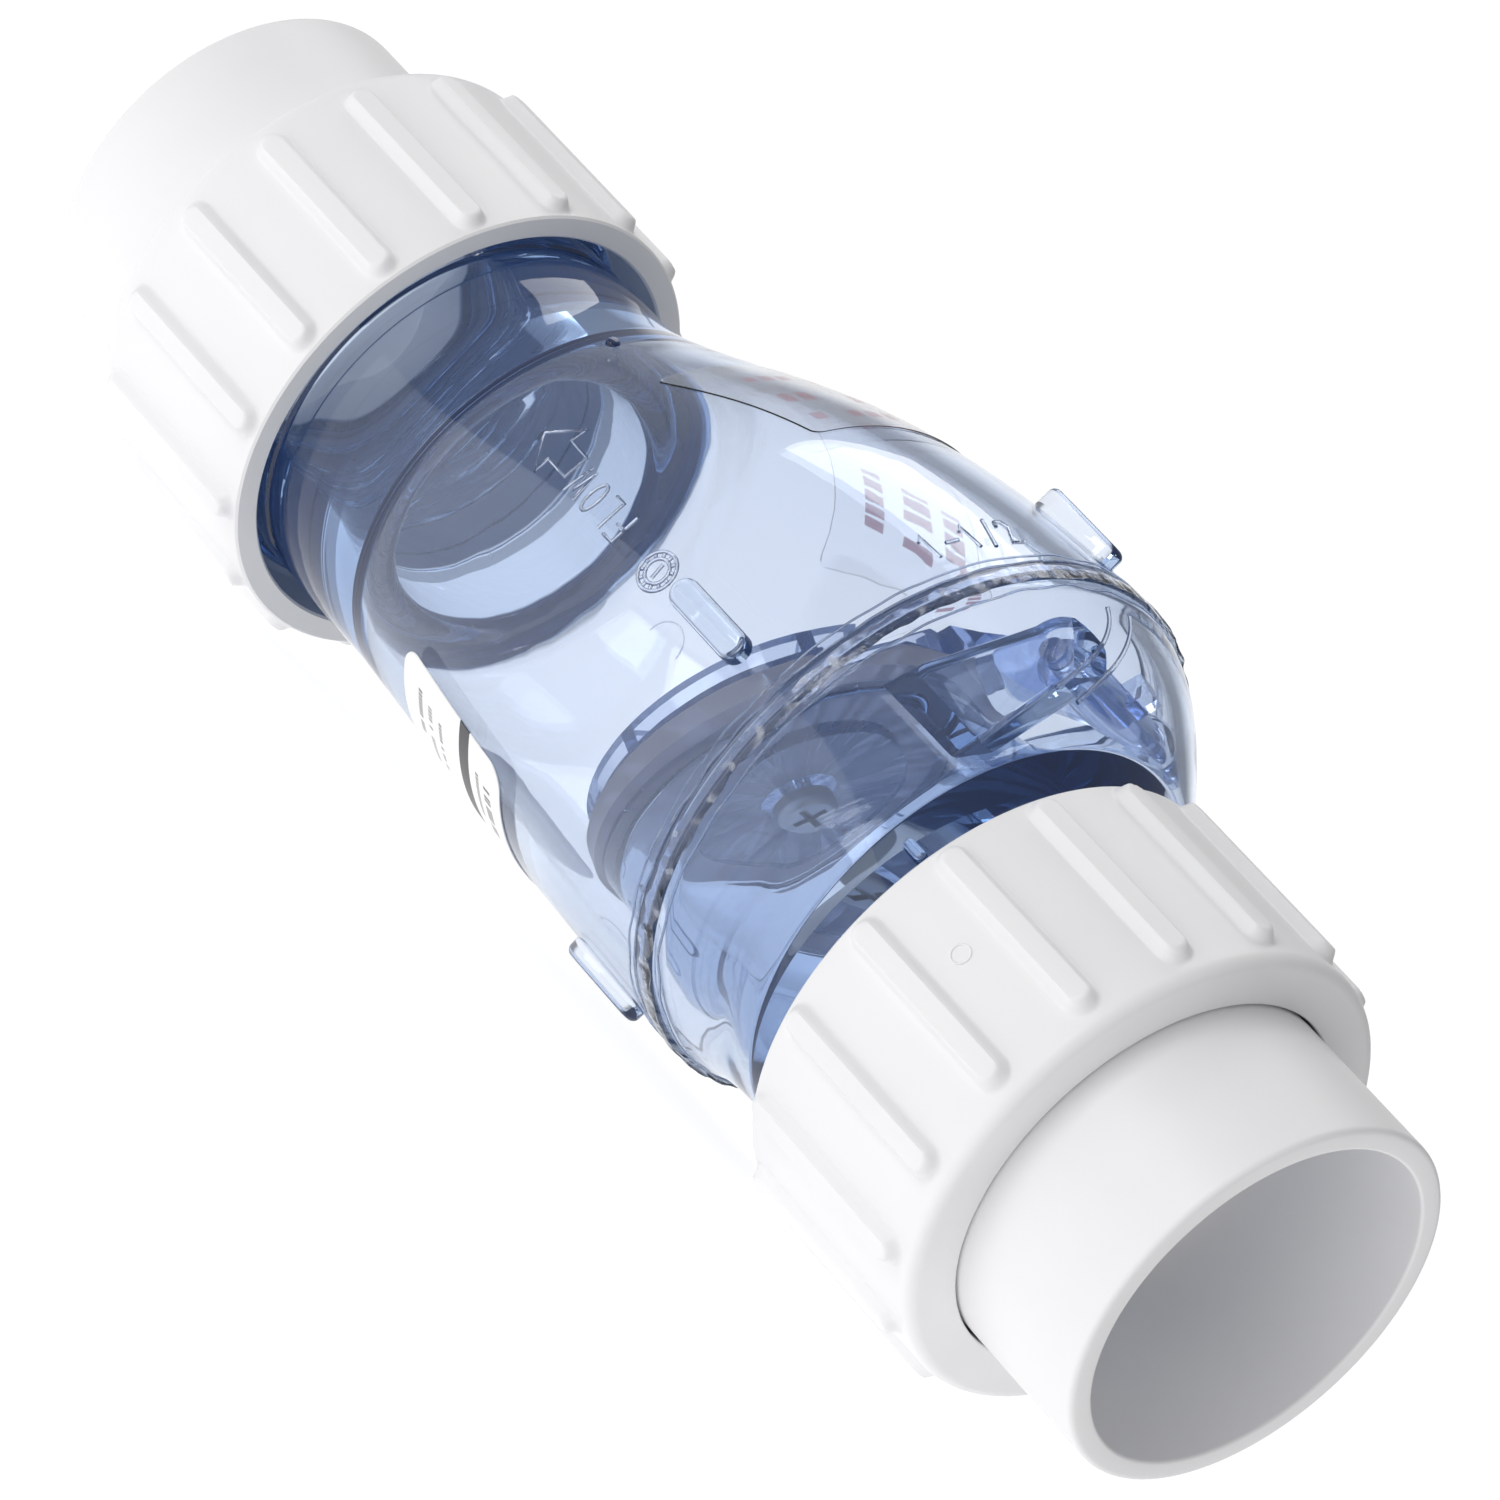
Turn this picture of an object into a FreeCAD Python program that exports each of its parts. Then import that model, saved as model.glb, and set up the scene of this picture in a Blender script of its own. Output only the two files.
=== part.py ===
import FreeCAD, Part
import os

# Clear swing check valve for 1-1/2 in PVC pressure pipe, with a union and a
# solvent-weld socket at each end.
#
# Frame, in millimetres: the origin is the centre of the inlet socket's mouth,
# +X is the way the water flows and +Z is the hinge side, where the body bulges.

Vector = FreeCAD.Vector
X_AXIS = Vector(1, 0, 0)
Y_AXIS = Vector(0, 1, 0)
Z_AXIS = Vector(0, 0, 1)

# ---- driving dimensions -------------------------------------------------------

OVERALL = 233.6            # mouth of the inlet socket to mouth of the outlet socket
FLOW_R = 19.0              # waterway through the ports and connectors

# union end, measured inwards from the mouth of its socket
SOCKET_R = 24.2            # 1-1/2 in pipe is 48.3 mm across
SOCKET_DEPTH = 28.5
MOUTH_CHAMFER = 0.9
BORE_CHAMFER = 0.4
CONNECTOR_R = 27.35
COLLAR_START = 28.0        # the nut's lip pulls on this shoulder
COLLAR_R = 30.7
PORT_FACE = 34.0           # where the connector meets the body

NUT_START = 23.0
NUT_END = 56.9
NUT_HOLE_R = 27.7
NUT_BORE_R = 31.15
NUT_R = 34.5
NUT_EDGE = 1.6             # soft outer corner
RIB_COUNT = 16
RIB_START = 26.0
RIB_END = 56.0
RIB_WIDTH = 4.2
RIB_TIP_R = 36.1
RIB_SOFTNESS = 1.0
INLET_RIB_TURN = 17.0      # how far each nut happens to be turned, in degrees
OUTLET_RIB_TURN = 9.0

# union thread, right-handed
PITCH = 4.0
THREAD_START = 38.0
THREAD_LENGTH = 12.0
BODY_THREAD_ROOT_R = 28.9
BODY_THREAD_CREST_R = 30.5
NUT_THREAD_CREST_R = 29.6
RIDGE_ROOT_WIDTH = 2.2
RIDGE_CREST_WIDTH = 1.2
RIDGE_SINK = 0.5           # how far a ridge is buried in its wall

# o-ring in the end face of each port
ORING_R = 25.2
ORING_SECTION_R = 1.6
ORING_SQUEEZE_GAP = 0.05
GROOVE_HALF_WIDTH = 2.0
GROOVE_DEPTH = 3.3

# body shell
TUBE_R = 29.1
NECK_START = 55.4          # narrow neck between the outlet thread and the tube
NECK_END = 58.7
NECK_R = 28.3
SEAM_X = 82.2
WALL = 3.4
# (x, lowest z, highest z) of the round sections of the two halves' outside
INLET_SECTIONS = (
    (57.0, -29.1, 29.1),
    (60.0, -29.1, 32.4),
    (64.6, -29.1, 37.5),
    (70.0, -29.1, 42.3),
    (76.0, -29.8, 46.4),
    (82.2, -32.0, 48.8),
)
INLET_CAVITY = (
    (66.0, -25.5, 33.4),
    (68.0, -25.6, 35.8),
    (72.5, -25.7, 40.0),
    (77.0, -26.5, 43.2),
    (82.2, -28.6, 45.4),
)
OUTLET_SECTIONS = (
    (82.2, -32.0, 48.8),
    (90.0, -32.1, 48.6),
    (104.0, -31.9, 47.4),
    (116.0, -31.5, 45.3),
    (128.0, -30.9, 42.1),
    (140.0, -30.2, 37.5),
    (152.0, -29.5, 32.6),
    (160.0, -29.1, 29.9),
    (165.0, -29.1, 29.1),
    (170.0, -29.1, 29.1),
)
CAVITY_END = 159.0         # shoulder where the chamber steps down to the port
SEAM_OVERLAP = 3.0         # the outlet half laps over a spigot on the inlet half
SPIGOT_R = 38.6
SPIGOT_Z = 8.4

# seat and flapper; "out" is square to the seat, downstream, and "up" lies in it
SEAT_X = 96.4              # where the seat's plane crosses the pipe axis
SEAT_LEAN = 17.2           # the top of the seat leans upstream, in degrees
NOZZLE_R = 25.0
HINGE_X = 76.6
HINGE_Z = 35.2
PIN_R = 1.6
PIN_HALF_LENGTH = 18.0
BARREL_R = 3.2
BARREL_BORE_R = 1.68
BARREL_HALF_LENGTH = 11.6
EAR_INNER_Y = 12.4
EAR_OUTER_Y = 17.5
EAR_BOSS_R = 4.6
FLAPPER_RISE = 1.0         # flapper centre above the pipe axis, along the seat
SEAL_R = 27.5
SEAL_HOLE_R = 5.0
SEAL_THICK = 3.0
DISC_R = 26.2
DISC_THICK = 4.5
DISC_RIM = 2.6
DISC_POCKET = 1.8
BOSS_R = 6.5
RETAINER_R = 14.0
RETAINER_THICK = 2.0
SCREW_R = 2.0
SCREW_HEAD_R = 3.8
SCREW_HEAD_THICK = 2.2
SCREW_LENGTH = 8.0
BLADE_COUNT = 6            # stiffening blades on the back of the disc
BLADE_THICK = 2.0
BLADE_SINK = 0.4
ARM_HALF_WIDTH = 6.0
TAB_HALF_WIDTH = 2.2
RECESS_DEEP = 1.3          # cross recess in the screw's head
RECESS_LONG = 4.4
RECESS_WIDE = 0.9
HEAD_SOFTNESS = 1.0

# pads on the outside of the outlet half
PAD_COUNT = 4
PAD_START = 91.0
PAD_LENGTH = 14.6
PAD_WIDTH = 4.2
PAD_HEIGHT = 2.1
PAD_CENTRE_Z = 8.4
CHAMBER_R = 40.4

BEAD_HALF_WIDTH = 0.9      # solvent cement at the seam
BEAD_HEIGHT = 0.5
BEAD_GAP = 0.1

# labels: (x from, x to, half the width across) as if laid flat
LABEL_LIFT = 0.05
LABEL_THICK = 0.15
WHITE_LABEL = (116.4, 141.7, 17.0)
WHITE_LABEL_CORNER_R = 3.0
WHITE_LABEL_TURN = -168.0
CLEAR_LABEL = (117.5, 140.5, 27.5)
CLEAR_LABEL_CORNER_R = 1.0
CLEAR_LABEL_TURN = 0.0


# ---- helpers --------------------------------------------------------------------

def rod(radius, start, end):
    """Cylinder on the pipe axis from x = start to x = end."""
    return Part.makeCylinder(radius, end - start, Vector(start, 0, 0), X_AXIS)


def turned(outline):
    """Solid of revolution about the pipe axis; outline holds (x, radius)."""
    points = [Vector(x, 0, r) for x, r in outline]
    face = Part.Face(Part.makePolygon(points + points[:1]))
    return face.revolve(Vector(0, 0, 0), X_AXIS, 360)


def lofted(sections, grow=0.0):
    """Smooth solid through round sections, each grown by the same amount."""
    rings = []
    for x, low, high in sections:
        middle = Vector(x, 0, (low + high) / 2)
        circle = Part.makeCircle((high - low) / 2 + grow, middle, X_AXIS)
        rings.append(Part.Wire(circle))
    return Part.makeLoft(rings, True, False)


def plate(outline, half_width):
    """Plate across Y with a straight-sided outline in the XZ plane."""
    points = [Vector(x, -half_width, z) for x, z in outline]
    face = Part.Face(Part.makePolygon(points + points[:1]))
    return face.extrude(Vector(0, 2 * half_width, 0))


def slot_bar(length, width, height, softness):
    """Bar lying along +X from the origin, round at both ends, soft on top."""
    r = width / 2
    middle = Part.makeBox(length - width, width, height, Vector(r, -r, 0))
    near = Part.makeCylinder(r, height, Vector(r, 0, 0))
    far = Part.makeCylinder(r, height, Vector(length - r, 0, 0))
    bar = middle.fuse([near, far]).removeSplitter()
    top = [e for e in bar.Edges if abs(e.BoundBox.ZMin - height) < 1e-6]
    return bar.makeFillet(softness, top)


def ridge(root_r, crest_r, start):
    """Helical ridge of the union thread on the pipe axis, from x = start."""
    root = RIDGE_ROOT_WIDTH / 2
    crest = RIDGE_CREST_WIDTH / 2
    points = [
        Vector(root_r, 0, -root),
        Vector(crest_r, 0, -crest),
        Vector(crest_r, 0, crest),
        Vector(root_r, 0, root),
    ]
    profile = Part.makePolygon(points + points[:1])
    path = Part.Wire(Part.makeLongHelix(PITCH, THREAD_LENGTH, root_r))
    solid = Part.Solid(path.makePipeShell([profile], True, True))
    solid.rotate(Vector(0, 0, 0), Y_AXIS, 90)
    solid.translate(Vector(start, 0, 0))
    return solid


def to_outlet(shape):
    """Turn a part of the inlet end round to the outlet end."""
    copy = shape.copy()
    copy.rotate(Vector(OVERALL / 2, 0, 0), Z_AXIS, 180)
    return copy


def on_seat(shape):
    """Move a part drawn with +X out of the seat and +Z up it to its place."""
    copy = shape.copy()
    copy.rotate(Vector(0, 0, 0), Y_AXIS, -SEAT_LEAN)
    copy.translate(Vector(SEAT_X, 0, 0))
    return copy


def on_flapper(shape):
    """Move a part centred on the flapper's own axis to its place."""
    copy = shape.copy()
    copy.translate(Vector(0, 0, FLAPPER_RISE))
    return on_seat(copy)


# ---- union ends --------------------------------------------------------------------

def connector():
    """End connector: pipe socket, waterway and the collar that the nut pulls."""
    outline = [
        (0, SOCKET_R + BORE_CHAMFER),
        (0, CONNECTOR_R - MOUTH_CHAMFER),
        (MOUTH_CHAMFER, CONNECTOR_R),
        (COLLAR_START, CONNECTOR_R),
        (COLLAR_START, COLLAR_R),
        (PORT_FACE, COLLAR_R),
        (PORT_FACE, FLOW_R),
        (SOCKET_DEPTH, FLOW_R),
        (SOCKET_DEPTH, SOCKET_R),
        (BORE_CHAMFER, SOCKET_R),
    ]
    return turned(outline)


def union_nut(rib_turn):
    """Union nut: lip, threaded bore and grip ribs round the outside."""
    corner = Part.makeCylinder(NUT_R, NUT_END - NUT_START, Vector(NUT_START, 0, 0), X_AXIS)
    outer_edge = [e for e in corner.Edges if abs(e.BoundBox.XMax - NUT_START) < 1e-6]
    nut = corner.makeFillet(NUT_EDGE, outer_edge)
    bar = slot_bar(RIB_END - RIB_START, RIB_WIDTH, RIB_WIDTH, RIB_SOFTNESS)
    bar.translate(Vector(RIB_START, 0, RIB_TIP_R - RIB_WIDTH))
    ribs = []
    for k in range(RIB_COUNT):
        rib = bar.copy()
        rib.rotate(Vector(0, 0, 0), X_AXIS, rib_turn - 90 + k * 360 / RIB_COUNT)
        ribs.append(rib)
    nut = nut.fuse(ribs)
    nut = nut.cut(rod(NUT_HOLE_R, NUT_START - 1, NUT_END))
    nut = nut.cut(rod(NUT_BORE_R, COLLAR_START, NUT_END + 1))
    thread = ridge(NUT_BORE_R + RIDGE_SINK, NUT_THREAD_CREST_R, THREAD_START - PITCH / 2)
    return nut.fuse(thread)


def o_ring():
    middle = PORT_FACE + ORING_SQUEEZE_GAP + ORING_SECTION_R
    return Part.makeTorus(ORING_R, ORING_SECTION_R, Vector(middle, 0, 0), X_AXIS)


def port_thread():
    return ridge(BODY_THREAD_ROOT_R - RIDGE_SINK, BODY_THREAD_CREST_R, THREAD_START)


def port_groove():
    outer = rod(ORING_R + GROOVE_HALF_WIDTH, PORT_FACE - 1, PORT_FACE + GROOVE_DEPTH)
    inner = rod(ORING_R - GROOVE_HALF_WIDTH, PORT_FACE - 1, PORT_FACE + GROOVE_DEPTH)
    return outer.cut(inner)


# ---- body ------------------------------------------------------------------------------

def seat_cutter():
    """Everything downstream of the seat's plane."""
    size = 2 * OVERALL
    return on_seat(Part.makeBox(size, size, size, Vector(0, -size / 2, -size / 2)))


def hinge_ears():
    """Two ears that stand on the seat nozzle and hold the hinge pin."""
    outline = [
        (74.6, 15.5),
        (90.6, 15.5),
        (88.2, 23.4),
        (80.2, 38.0),
        (72.4, 33.2),
    ]
    wide = plate(outline, EAR_OUTER_Y)
    boss = Part.makeCylinder(
        EAR_BOSS_R, 2 * EAR_OUTER_Y, Vector(HINGE_X, -EAR_OUTER_Y, HINGE_Z), Y_AXIS)
    reach = 60
    gap = Part.makeBox(reach, 2 * EAR_INNER_Y, reach, Vector(HINGE_X - reach / 2, -EAR_INNER_Y, 0))
    return wide.fuse(boss).cut(gap).cut(hinge_pin())


def spigot():
    """Thin ring on the inlet half that the outlet half laps over."""
    start = Vector(SEAM_X - 1, 0, SPIGOT_Z)
    length = SEAM_OVERLAP + 1
    outer = Part.makeCylinder(SPIGOT_R, length, start, X_AXIS)
    inner = Part.makeCylinder(CHAMBER_R - WALL, length, start, X_AXIS)
    return outer.cut(inner)


def inlet_body():
    """Inlet half: threaded port, dome, seat nozzle and hinge ears."""
    port = rod(BODY_THREAD_ROOT_R, PORT_FACE, INLET_SECTIONS[0][0])
    port = port.cut(port_groove())
    shell = lofted(INLET_SECTIONS).cut(lofted(INLET_CAVITY))
    nozzle = rod(NOZZLE_R, NUT_END, OVERALL / 2).cut(seat_cutter())
    body = port.fuse([shell, nozzle, hinge_ears(), spigot()])
    body = body.cut(rod(FLOW_R, PORT_FACE - 1, OVERALL / 2))
    return body.fuse(port_thread())


def pad():
    bar = slot_bar(PAD_LENGTH, PAD_WIDTH, 2 * PAD_HEIGHT, RIB_SOFTNESS)
    bar.translate(Vector(PAD_START, 0, PAD_CENTRE_Z + CHAMBER_R - PAD_HEIGHT))
    return bar


def outlet_body():
    """Outlet half: chamber, four pads and the threaded port."""
    shell = lofted(OUTLET_SECTIONS)
    pads = []
    for k in range(PAD_COUNT):
        copy = pad()
        copy.rotate(Vector(0, 0, PAD_CENTRE_Z), X_AXIS, k * 360 / PAD_COUNT)
        pads.append(copy)
    body = shell.fuse(pads)
    reach = Part.makeBox(CAVITY_END - SEAM_X + 1, 200, 200, Vector(SEAM_X - 1, -100, -100))
    cavity = lofted(OUTLET_SECTIONS, -WALL).common(reach)
    lap = Part.makeCylinder(SPIGOT_R, SEAM_OVERLAP, Vector(SEAM_X, 0, SPIGOT_Z), X_AXIS)
    body = body.cut(cavity).cut(lap)
    neck = rod(NECK_R, NECK_START, NECK_END)
    tube = rod(TUBE_R, NECK_END, OVERALL - OUTLET_SECTIONS[-1][0])
    port = rod(BODY_THREAD_ROOT_R, PORT_FACE, NECK_START).cut(port_groove())
    body = body.fuse(to_outlet(port.fuse([neck, tube])))
    body = body.cut(rod(FLOW_R, CAVITY_END - 1, OVERALL))
    return body.fuse(to_outlet(port_thread()))


def cement_bead():
    """Line of solvent cement squeezed out round the joint of the halves."""
    start = Vector(SEAM_X - BEAD_HALF_WIDTH, 0, PAD_CENTRE_Z)
    outer = Part.makeCylinder(CHAMBER_R + BEAD_HEIGHT, 2 * BEAD_HALF_WIDTH, start, X_AXIS)
    inner = Part.makeCylinder(CHAMBER_R + BEAD_GAP, 2 * BEAD_HALF_WIDTH, start, X_AXIS)
    return outer.cut(inner)


# ---- flapper ---------------------------------------------------------------------------

def hinge_pin():
    return Part.makeCylinder(
        PIN_R, 2 * PIN_HALF_LENGTH, Vector(HINGE_X, -PIN_HALF_LENGTH, HINGE_Z), Y_AXIS)


def flapper_arm():
    """Clear flapper: disc with a rimmed back, arm, hinge barrel and rear tab."""
    back = SEAL_THICK + DISC_THICK
    disc = rod(DISC_R, SEAL_THICK, back)
    pocket = rod(DISC_R - DISC_RIM, back - DISC_POCKET, back + 1)
    boss = rod(BOSS_R, SEAL_THICK, back)
    screw_hole = rod(SCREW_R, SEAL_THICK - 1, SCREW_LENGTH - RETAINER_THICK)
    disc = disc.cut(pocket).fuse(boss).cut(screw_hole)
    blades = []
    for k in range(BLADE_COUNT):
        root = Vector(back - DISC_POCKET - BLADE_SINK, -BLADE_THICK / 2, BOSS_R - 1)
        reach = DISC_R - DISC_RIM / 2 - BOSS_R
        blade = Part.makeBox(DISC_POCKET + BLADE_SINK, BLADE_THICK, reach, root)
        blade.rotate(Vector(0, 0, 0), X_AXIS, k * 360 / BLADE_COUNT)
        blades.append(blade)
    disc = on_flapper(disc.fuse(blades))
    outline = [
        (3.3, 22.0),
        (8.6, 22.0),
        (8.6, 27.5),
        (4.5, 33.0),
        (-6.8, 42.4),
        (-9.5, 37.4),
        (-2.0, 32.0),
        (3.3, 31.0),
    ]
    arm = on_seat(plate(outline, ARM_HALF_WIDTH))
    barrel = Part.makeCylinder(
        BARREL_R, 2 * BARREL_HALF_LENGTH, Vector(HINGE_X, -BARREL_HALF_LENGTH, HINGE_Z), Y_AXIS)
    tab_outline = [
        (HINGE_X - 2.8, HINGE_Z - 0.5),
        (HINGE_X + 0.2, HINGE_Z),
        (HINGE_X - 0.6, HINGE_Z + 5.6),
        (HINGE_X - 3.2, HINGE_Z + 4.6),
    ]
    tab = plate(tab_outline, TAB_HALF_WIDTH)
    bore = Part.makeCylinder(
        BARREL_BORE_R, 2 * BARREL_HALF_LENGTH + 2,
        Vector(HINGE_X, -BARREL_HALF_LENGTH - 1, HINGE_Z), Y_AXIS)
    return disc.fuse([arm, barrel, tab]).cut(bore)


def flapper_seal():
    """Rubber disc that closes on the seat."""
    return on_flapper(rod(SEAL_R, 0, SEAL_THICK).cut(rod(SEAL_HOLE_R, -1, SEAL_THICK + 1)))


def seal_retainer():
    """Washer that clamps the seal, with a spigot through the seal's hole."""
    washer = rod(RETAINER_R, -RETAINER_THICK, 0)
    spacer = rod(SEAL_HOLE_R, 0, SEAL_THICK)
    hole = rod(SCREW_R, -RETAINER_THICK - 1, SEAL_THICK + 1)
    return on_flapper(washer.fuse(spacer).cut(hole))


def retainer_screw():
    """Pan-head screw with a cross recess."""
    shank = rod(SCREW_R, -RETAINER_THICK, SCREW_LENGTH - RETAINER_THICK)
    head = rod(SCREW_HEAD_R, -RETAINER_THICK - SCREW_HEAD_THICK, -RETAINER_THICK)
    face = [e for e in head.Edges if abs(e.BoundBox.XMax + RETAINER_THICK + SCREW_HEAD_THICK) < 1e-6]
    head = head.makeFillet(HEAD_SOFTNESS, face)
    screw = shank.fuse(head)
    start = -RETAINER_THICK - SCREW_HEAD_THICK
    long = RECESS_LONG / 2
    wide = RECESS_WIDE / 2
    flat = Part.makeBox(RECESS_DEEP, 2 * long, 2 * wide, Vector(start, -long, -wide))
    upright = Part.makeBox(RECESS_DEEP, 2 * wide, 2 * long, Vector(start, -wide, -long))
    return on_flapper(screw.cut([flat, upright]))


# ---- labels ------------------------------------------------------------------------------

def label(size, corner_r, turn):
    """Thin sheet on the outlet half, turned about the pipe axis from the top."""
    start, end, half_width = size
    sheet = lofted(OUTLET_SECTIONS, LABEL_LIFT + LABEL_THICK)
    sheet = sheet.cut(lofted(OUTLET_SECTIONS, LABEL_LIFT))
    reach = 2 * CHAMBER_R
    prism = Part.makeBox(end - start, 2 * half_width, reach, Vector(start, -half_width, 0))
    uprights = [e for e in prism.Edges if e.BoundBox.ZLength > reach / 2]
    prism = prism.makeFillet(corner_r, uprights)
    prism.rotate(Vector(0, 0, 0), X_AXIS, turn)
    return sheet.common(prism)


def white_label():
    """Paper label wrapped round the underside on the +Y side."""
    return label(WHITE_LABEL, WHITE_LABEL_CORNER_R, WHITE_LABEL_TURN)


def clear_label():
    """Transparent label wrapped over the top of the outlet half."""
    return label(CLEAR_LABEL, CLEAR_LABEL_CORNER_R, CLEAR_LABEL_TURN)


# ---- write ---------------------------------------------------------------------------------

def main():
    os.makedirs("parts", exist_ok=True)
    nodes = {
        "inlet_connector": connector(),
        "outlet_connector": to_outlet(connector()),
        "inlet_nut": union_nut(INLET_RIB_TURN),
        "outlet_nut": to_outlet(union_nut(OUTLET_RIB_TURN)),
        "inlet_oring": o_ring(),
        "outlet_oring": to_outlet(o_ring()),
        "inlet_body": inlet_body(),
        "outlet_body": outlet_body(),
        "cement_bead": cement_bead(),
        "hinge_pin": hinge_pin(),
        "flapper_arm": flapper_arm(),
        "flapper_seal": flapper_seal(),
        "seal_retainer": seal_retainer(),
        "retainer_screw": retainer_screw(),
        "white_label": white_label(),
        "clear_label": clear_label(),
    }
    for name, shape in nodes.items():
        print(name, "solids", len(shape.Solids), "valid", shape.isValid(), "mm3", round(shape.Volume, 1))
        shape.exportStep("parts/" + name + ".step")


main()
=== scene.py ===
import math
import random

import bmesh
import bpy
from mathutils import Matrix, Vector


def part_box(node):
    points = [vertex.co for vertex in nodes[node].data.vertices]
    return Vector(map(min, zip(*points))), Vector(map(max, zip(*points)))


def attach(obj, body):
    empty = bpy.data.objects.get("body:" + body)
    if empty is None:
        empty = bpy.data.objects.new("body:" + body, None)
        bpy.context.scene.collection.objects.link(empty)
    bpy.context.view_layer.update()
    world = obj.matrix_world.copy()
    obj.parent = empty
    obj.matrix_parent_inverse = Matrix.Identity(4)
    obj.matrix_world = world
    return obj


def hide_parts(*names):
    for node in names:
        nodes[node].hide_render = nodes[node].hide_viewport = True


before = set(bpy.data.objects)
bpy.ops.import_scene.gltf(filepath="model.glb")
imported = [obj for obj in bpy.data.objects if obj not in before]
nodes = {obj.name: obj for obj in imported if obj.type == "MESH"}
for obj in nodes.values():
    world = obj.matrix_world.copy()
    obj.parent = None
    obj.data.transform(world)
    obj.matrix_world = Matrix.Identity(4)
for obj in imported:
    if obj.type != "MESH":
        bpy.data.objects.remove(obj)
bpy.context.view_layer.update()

# Everything below is drawn in millimetres and scaled to metres as it is made.
MM = 0.001
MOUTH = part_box("inlet_connector")[0].x         # mouth of the inlet socket
LENGTH = (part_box("outlet_connector")[1].x - MOUTH) / MM
TURN = 2 * math.pi

# ---- sizes of the valve ------------------------------------------------------------

SOCKET_R = 24.2
SOCKET_DEPTH = 28.5
FLOW_R = 19.0
CONNECTOR_R = 27.35
COLLAR_START = 28.0
COLLAR_R = 30.7
PORT_FACE = 34.0

NUT_START = 23.0
NUT_END = 56.9
NUT_HOLE_R = 27.7
NUT_BORE_R = 31.15
NUT_R = 34.5
NUT_EDGE = 1.6
RIB_COUNT = 16
RIB_START = 26.0
RIB_END = 56.0
RIB_HEIGHT = 1.6
RIB_HALF_WIDTH = 2.1
RIB_FLANK = 1.25           # how far the rib takes to die into the nut
RIB_SKIRT = 0.35           # how far the flank starts outside the rib
BELOW_RIBS = 0.02          # keeps the rounded rim out of the ribs' swelling
INLET_RIB_TURN = math.radians(17)
OUTLET_RIB_TURN = math.radians(9)

PITCH = 4.0
THREAD_START = 38.0
THREAD_END = 50.0
BODY_THREAD_ROOT_R = 28.9
BODY_THREAD_DEPTH = 1.6
NUT_THREAD_DEPTH = 1.5
THREAD_CREST = 0.6         # half width of the flat on top of the thread
THREAD_FOOT = 1.1

GROOVE_IN_R = 23.2
GROOVE_OUT_R = 27.2
GROOVE_DEPTH = 3.3

TUBE_R = 29.1
NECK_R = 28.3
NECK_START = 55.4
NECK_END = 58.7
SEAM_X = 82.2
WALL = 3.4
CHAMBER_R = 40.4
CHAMBER_Z = 8.4
SPIGOT_R = 38.6
SPIGOT_END = 85.2
SEAM_SLIP = 0.12           # air left between the cemented halves
CAVITY_START = 66.0
CAVITY_END = 159.0
TUBE_START = 57.0
# (x, lowest z, highest z) of round sections
INLET_SHELL = (
    (57.0, -29.1, 29.1), (60.0, -29.1, 32.4), (64.6, -29.1, 37.5),
    (70.0, -29.1, 42.3), (76.0, -29.8, 46.4), (82.2, -32.0, 48.8),
)
INLET_CAVITY = (
    (66.0, -25.5, 33.4), (68.0, -25.6, 35.8), (72.5, -25.7, 40.0),
    (77.0, -26.5, 43.2), (82.2, -28.6, 45.4),
)
OUTLET_SHELL = (
    (82.2, -32.0, 48.8), (90.0, -32.1, 48.6), (104.0, -31.9, 47.4), (116.0, -31.5, 45.3),
    (128.0, -30.9, 42.1), (140.0, -30.2, 37.5), (152.0, -29.5, 32.6), (160.0, -29.1, 29.9),
    (165.0, -29.1, 29.1), (170.0, -29.1, 29.1),
)

SEAT_X = 96.4
SEAT_LEAN = math.radians(17.2)
NOZZLE_R = 25.0
HINGE_X = 76.6
HINGE_Z = 35.2
EAR_INNER_Y = 12.4
EAR_OUTER_Y = 17.5
EAR_BOSS_R = 4.6
EAR_OUTLINE = ((74.6, 15.5), (90.6, 15.5), (88.2, 23.4), (80.2, 38.0), (72.4, 33.2))
PAD_START = 91.0
PAD_LENGTH = 14.6
PAD_WIDTH = 4.2
PAD_HEIGHT = 2.1
PAD_COUNT = 4
PAD_SINK = 1.4
PAD_SOFTNESS = 1.1

AROUND = 192               # points round a turned skin


# ---- colours and nodes ---------------------------------------------------------------

def colour(code, alpha=1.0):
    """sRGB hex to the linear colour that the shaders take."""
    channels = []
    for i in (0, 2, 4):
        value = int(code[i:i + 2], 16) / 255
        channels.append(value / 12.92 if value <= 0.04045 else ((value + 0.055) / 1.055) ** 2.4)
    return (*channels, alpha)


def put(tree, kind, links=None, values=None, **settings):
    """Add a node, set its properties and sockets, and link sockets to others."""
    node = tree.nodes.new(kind)
    for name, value in settings.items():
        setattr(node, name, value)
    for name, value in (values or {}).items():
        node.inputs[name].default_value = value
    for name, source in (links or {}).items():
        tree.links.new(source, node.inputs[name])
    return node


def new_material(name):
    material = bpy.data.materials.new(name)
    material.use_nodes = True
    material.node_tree.nodes.clear()
    return material, material.node_tree


# ---- mesh work -------------------------------------------------------------------------

def slope(xs, values, k):
    """Slope at listed point k: the mean of the two spans that meet there."""
    if k in (0, len(xs) - 1):
        j = min(k, len(xs) - 2)
        return (values[j + 1] - values[j]) / (xs[j + 1] - xs[j])
    before = (values[k] - values[k - 1]) / (xs[k] - xs[k - 1])
    after = (values[k + 1] - values[k]) / (xs[k + 1] - xs[k])
    return (before + after) / 2


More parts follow.
